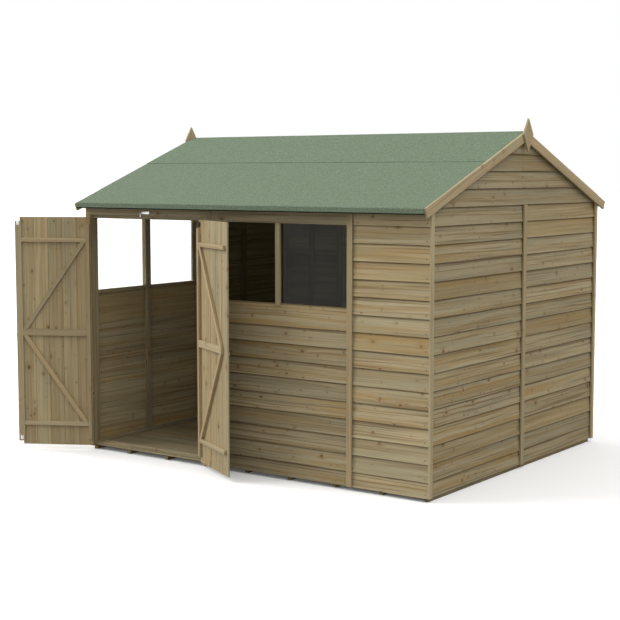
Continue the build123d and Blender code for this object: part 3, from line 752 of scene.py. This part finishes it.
def nail_row(rng, wall_point, columns, level, top, reach):
    """Places of a board's nail heads, a little off their columns."""
    places = []
    for column in columns:
        z = level + min(NAIL_HEIGHT, (top - level) * NAIL_SHARE)
        z += rng.uniform(-NAIL_STRAY, NAIL_STRAY)
        along = column + rng.uniform(-NAIL_STRAY, NAIL_STRAY)
        if reach is None or abs(along) <= reach(z) - NAIL_MARGIN:
            out = CLAD_ZONE - BOARD_LEAN * (z - level) / BOARD_PITCH
            places.append(wall_point(along, out - NAIL_SINK, z))
    return places


def clad(node, normal, roof=False):
    """The node's panels as separate overlapped boards."""
    normal = Vector(normal)
    run = Vector((1, 0, 0)) if abs(normal.y) > 0.5 else Vector((0, 1, 0))
    source = cad_mesh(node)
    bm = bmesh.new()
    bm.verts.layers.float_vector.new("grain")
    for name in ("seed", "lap", "tone"):
        bm.verts.layers.float.new(name)
    rng, nail_rng = random.Random(node), random.Random(node + "_nails")
    heads = []
    plane = max(v.co.dot(normal) for v in source.verts) - CLAD_ZONE

    def wall_point(along, out, z):
        return run * along + normal * (plane + out) + Vector((0, 0, z))

    for group in solids(source):
        (low, start), (high, end) = spans_of(group, (Vector((0, 0, 1)), run))
        if end - start < UPRIGHT_WIDTH:
            upright_board(bm, rng, run, normal, (low, start, plane),
                          (high, end, plane + CLAD_ZONE))
            continue
        reach = None
        if roof:
            def reach(z, apex=high + APEX_RISE):
                return max(LEAST_REACH, (apex - z) / ROOF_SLOPE)
        columns = [start + NAIL_INSET, end - NAIL_INSET]
        if end - start > WIDE_PANEL:
            columns.append((start + end) / 2)
        levels = board_levels(low, high)
        for level, top in zip(levels, levels[1:] + [high]):
            for centre in nail_row(nail_rng, wall_point, columns, level, top,
                                   reach):
                heads.append((centre, normal))
            weatherboard(bm, rng, wall_point, start, end, (level, top, high),
                         reach)
    source.free()
    tone = bm.verts.layers.float["tone"]
    for vertex in bm.verts:
        vertex[tone] = TONES_AND_SHADE.get(node, 0.0)
    made = place(node + "_weatherboards", bm, node)
    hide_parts(node)
    nailed(node + "_nails", node, heads)


clad("front_window_cladding", (0, -1, 0))
clad("front_plain_cladding", (0, -1, 0))
clad("back_wall_cladding", (0, 1, 0))
clad("right_gable_cladding", (1, 0, 0))
clad("left_gable_cladding", (-1, 0, 0))
clad("right_gable_triangle", (1, 0, 0), roof=True)
clad("left_gable_triangle", (-1, 0, 0), roof=True)

for node in ("doorway_cladding", "floor_joists", "front_wall_frame",
             "back_wall_frame", "left_gable_frame", "right_gable_frame",
             "left_gable_rafters", "right_gable_rafters", "roof_purlins",
             "left_bargeboards", "right_bargeboards", "corner_trims",
             "cover_strips", "window_mullions", "left_door_frame",
             "right_door_frame"):
    timber(node)
for node in ("left_finial", "right_finial"):
    timber(node, along=(0, 0, 1))
planked("floor_boards", (1, 0, 0), FLOOR_BOARD)
planked("roof_boards", (1, 0, 0), ROOF_BOARD)
planked("left_door_boards", (0, 0, 1), DOOR_BOARD)
planked("right_door_boards", (0, 0, 1), DOOR_BOARD)


# Roof felt
def felt_grid(bm, axes, low, high, phase, depth, wave):
    """One face of a felt sheet, as rows of vertices."""
    grain = bm.verts.layers.float_vector["grain"]
    columns = round((high[0] - low[0]) / FELT_STEP)
    rows = round((high[1] - low[1]) / FELT_STEP)
    grid = []
    for i in range(columns + 1):
        grid.append([])
        for j in range(rows + 1):
            x = low[0] + (high[0] - low[0]) * i / columns
            y = low[1] + (high[1] - low[1]) * j / rows
            dip = noise.noise((x * 2.2 + phase, y * 4.0, 0))
            dip += 0.5 * noise.noise((x * 7, y * 9 + phase, 3))
            z = depth - wave * max(0.0, dip)
            vertex = bm.verts.new(axes[0] * x + axes[1] * y + axes[2] * z)
            vertex[grain] = (x, y, z)
            grid[-1].append(vertex)
    return grid


def felt_sheet(bm, axes, low, high, rng):
    """One course of felt with slight waves, closed all round."""
    phase = rng.uniform(0, 30)
    top = felt_grid(bm, axes, low, high, phase, high[2], FELT_WAVE)
    bottom = felt_grid(bm, axes, low, high, phase, low[2], 0.0)
    columns, rows = len(top) - 1, len(top[0]) - 1
    for i in range(columns):
        for j in range(rows):
            for grid in (top, bottom):
                bm.faces.new((grid[i][j], grid[i + 1][j],
                              grid[i + 1][j + 1], grid[i][j + 1]))
    for i in range(columns):
        for j in (0, rows):
            bm.faces.new((top[i][j], bottom[i][j],
                          bottom[i + 1][j], top[i + 1][j]))
    for j in range(rows):
        for i in (0, columns):
            bm.faces.new((top[i][j], bottom[i][j],
                          bottom[i][j + 1], top[i][j + 1]))


def felted_roof(node):
    """The roof's sheets of felt."""
    source = cad_mesh(node)
    bm = bmesh.new()
    bm.verts.layers.float_vector.new("grain")
    rng = random.Random(node)
    for group in solids(source):
        axes = axes_of(group, (1, 0, 0))
        if axes[2].z < 0:
            axes = (axes[0], -axes[1], -axes[2])
        felt_sheet(bm, axes, *spans_of(group, axes), rng)
    source.free()
    made = place(node + "_sheets", bm, node)
    for polygon in made.data.polygons:
        polygon.use_smooth = True
    made.data.set_sharp_from_angle(angle=math.radians(FELT_SMOOTH_ANGLE))
    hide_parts(node)


def felted_edges(node):
    """Edge boards wrapped in felt, with painted black shade on a band along their
    lower edge.
    """
    bm = cad_mesh(node)
    soften(bm, FELT_FOLD)
    shade_line = min(v.co.z for v in bm.verts) + FELT_SHADE_BAND
    for level in (shade_line - FELT_SHADE_FADE, shade_line):
        bmesh.ops.bisect_plane(bm, geom=bm.verts[:] + bm.edges[:] + bm.faces[:],
                               plane_co=(0, 0, level), plane_no=(0, 0, 1))
    mark_grain(bm, node)
    # Painted black shade on the faces below the band's top
    lap = bm.verts.layers.float.new("lap")
    for vertex in bm.verts:
        vertex[lap] = float(vertex.co.z < shade_line - FELT_SHADE_FADE / 2)
    made = place(node + "_wrapped", bm, node)
    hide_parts(node)


felted_roof("roof_felt")
felted_edges("eaves_fascias")


# Ironwork and panes
def metalwork(node, material=None):
    bm = cad_mesh(node)
    soften(bm, METAL_ARRIS)
    mark_grain(bm, node)
    made = place(node + "_metal", bm, node, material=material)
    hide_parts(node)


def glazed(node, material):
    """Panes stay as the CAD has them, under a material of their own."""
    nodes[node].data.materials.clear()
    nodes[node].data.materials.append(material)


for node in ("hinge_plates", "left_door_hinges", "right_door_hinges"):
    metalwork(node, dull_zinc)
for node in ("header_catch", "left_door_bolts", "left_door_loop",
             "right_door_ring", "right_door_buffer"):
    metalwork(node)
glazed("front_window_glass", dusty_glass)
glazed("left_window_glass", materials["glazing"])


# Studio
def looking(tree):
    """Above 0 for the rays that look at something, 0 for those that light it."""
    path = tree.node("ShaderNodeLightPath")
    rays = tree.math("ADD", path.outputs["Is Camera Ray"],
                     path.outputs["Is Glossy Ray"])
    return tree.math("ADD", rays, path.outputs["Is Transmission Ray"])


def studio_floor():
    """Pale ground that the camera sees as white where it is lit."""
    material = bpy.data.materials.new("studio_floor")
    material.use_nodes = True
    material.node_tree.nodes.clear()
    tree = Nodes(material.node_tree)
    looks = looking(tree)
    diffuse = tree.node("ShaderNodeBsdfDiffuse")
    tree.link(tree.mix(looks, (FLOOR_AS_LIGHT,) * 3 + (1.0,),
                       (FLOOR_AS_SEEN,) * 3 + (1.0,)), diffuse.inputs["Color"])
    glow = tree.node("ShaderNodeEmission")
    tree.link(tree.math("MULTIPLY", looks, FLOOR_GLOW),
              glow.inputs["Strength"])
    both = tree.node("ShaderNodeAddShader")
    tree.link(diffuse.outputs[0], both.inputs[0])
    tree.link(glow.outputs[0], both.inputs[1])
    output = tree.node("ShaderNodeOutputMaterial")
    tree.link(both.outputs[0], output.inputs["Surface"])
    mesh = bpy.data.meshes.new("studio_floor")
    corners = ((-1, -1), (1, -1), (1, 1), (-1, 1))
    mesh.from_pydata([(x * FLOOR_HALF, y * FLOOR_HALF, 0) for x, y in corners],
                     [], [(0, 1, 2, 3)])
    mesh.materials.append(material)
    ground = bpy.data.objects.new("studio_floor", mesh)
    bpy.context.scene.collection.objects.link(ground)


def studio_world():
    """White to look at; as light, plain and a little brighter overhead."""
    world = bpy.data.worlds.new("studio")
    bpy.context.scene.world = world
    world.use_nodes = True
    tree = Nodes(world.node_tree)
    direction = tree.node("ShaderNodeTexCoord")
    split = tree.node("ShaderNodeSeparateXYZ")
    tree.link(direction.outputs["Generated"], split.inputs[0])
    height = tree.math("MAXIMUM", split.outputs[2], 0.0)
    light = tree.math("ADD", tree.math("MULTIPLY", height, SKY_RISE), SKY)
    strength = tree.node("ShaderNodeMix")
    tree.link(looking(tree), strength.inputs[0])
    tree.link(light, strength.inputs[2])
    strength.inputs[3].default_value = 1.0
    background = world.node_tree.nodes["Background"]
    background.inputs["Color"].default_value = (1.0, 1.0, 1.0, 1.0)
    tree.link(strength.outputs[0], background.inputs["Strength"])


def sun(name, azimuth, elevation, strength, across):
    """A soft lamp; azimuth 0 shines from the door side, 90 from +X."""
    lamp = bpy.data.lights.new(name, "SUN")
    lamp.energy = strength
    lamp.angle = math.radians(across)
    made = bpy.data.objects.new(name, lamp)
    turn, tilt = math.radians(azimuth), math.radians(elevation)
    source = Vector((math.sin(turn) * math.cos(tilt),
                     -math.cos(turn) * math.cos(tilt), math.sin(tilt)))
    made.rotation_euler = source.to_track_quat("Z", "Y").to_euler()
    bpy.context.scene.collection.objects.link(made)


def room_lamp():
    """A weak lamp in the shed's room, itself out of sight."""
    lamp = bpy.data.lights.new("room_lamp", "POINT")
    lamp.energy = ROOM_LAMP_POWER
    lamp.shadow_soft_size = ROOM_LAMP_RADIUS
    made = bpy.data.objects.new("room_lamp", lamp)
    made.location = ROOM_LAMP_PLACE
    made.visible_camera = False
    made.visible_glossy = False
    made.visible_transmission = False
    bpy.context.scene.collection.objects.link(made)


def camera():
    data = bpy.data.cameras.new("camera")
    data.sensor_width = SENSOR_WIDTH
    data.lens = SENSOR_WIDTH * FOCAL_PIXELS / FRAME_PIXELS
    data.clip_end = CAMERA_REACH
    made = bpy.data.objects.new("camera", data)
    made.location = CAMERA_PLACE
    made.rotation_euler = (math.radians(90 + CAMERA_PITCH), 0,
                           math.radians(CAMERA_YAW))
    bpy.context.scene.collection.objects.link(made)
    bpy.context.scene.camera = made


studio_floor()
studio_world()
for settings in SUNS:
    sun(*settings)
room_lamp()
camera()
bpy.context.scene.view_settings.view_transform = "Standard"
